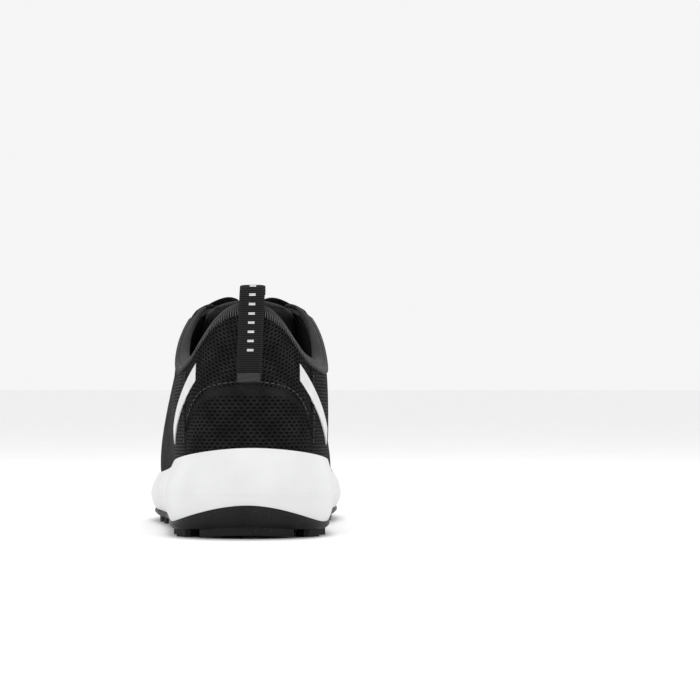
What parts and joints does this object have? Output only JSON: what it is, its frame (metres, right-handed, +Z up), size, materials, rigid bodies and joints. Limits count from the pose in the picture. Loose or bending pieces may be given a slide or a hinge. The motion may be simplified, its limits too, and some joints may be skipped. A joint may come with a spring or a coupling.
{
  "type": "golf shoe",
  "caption": "Low-cut spikeless golf shoe for the left foot, knit upper with padded collar, heel pull loop, laces, thick foam midsole and lugged rubber outsole.",
  "frame": {"origin": "on the ground under the middle of the shoe's bounding box", "axes": "+Z up, +Y towards the toe, +X towards the inner (medial) side of the foot; the shoe stands on its outsole"},
  "size_m": [0.1088, 0.2923, 0.1279],
  "materials": {
    "rubber_black": "matte",
    "foam_white": "matte",
    "mesh_black": "matte",
    "overlay_black": "satin",
    "lining_grey": "matte",
    "padding_foam": "matte",
    "stiffener": "matte",
    "insole_cloth": "matte",
    "stripe_white": "satin",
    "webbing_black": "matte",
    "lace_black": "matte",
    "aglet_black": "gloss"
  },
  "bodies": {
    "shoe": {"outsole": "rubber_black", "midsole": "foam_white", "strobel_board": "stiffener", "sockliner_foam": "padding_foam", "sockliner_cover": "insole_cloth", "heel_panel_lower": "mesh_black", "heel_panel_upper": "mesh_black", "quarter_medial": "mesh_black", "quarter_lateral": "mesh_black", "vamp": "mesh_black", "eyestay_medial": "overlay_black", "eyestay_lateral": "overlay_black", "stripe_medial": "stripe_white", "stripe_lateral": "stripe_white", "heel_counter": "stiffener", "toe_puff": "stiffener", "quarter_padding_medial": "padding_foam", "quarter_padding_lateral": "padding_foam", "quarter_lining_medial": "lining_grey", "quarter_lining_lateral": "lining_grey", "vamp_lining": "lining_grey", "collar_foam": "padding_foam", "collar_lining": "lining_grey", "tongue": "mesh_black", "lace": "lace_black", "aglets": "aglet_black", "pull_loop_base": "webbing_black", "pull_loop_patch": "webbing_black"},
    "tongue_top": {"tongue_top": "mesh_black"},
    "pull_loop": {"pull_loop_top": "webbing_black"}
  },
  "joints": [
    {"name": "tongue_flex", "type": "hinge", "parent": "shoe", "child": "tongue_top", "pos_m": [0.0045, -0.0252, 0.1124], "axis": [1, 0, 0], "range_deg": [-6, 18], "stiffness_Nm_per_rad": 0.1},
    {"name": "pull_loop_flex", "type": "hinge", "parent": "shoe", "child": "pull_loop", "pos_m": [0.0105, -0.1382, 0.117], "axis": [1, 0, 0], "range_deg": [-35, 50], "stiffness_Nm_per_rad": 0.01}
  ]
}
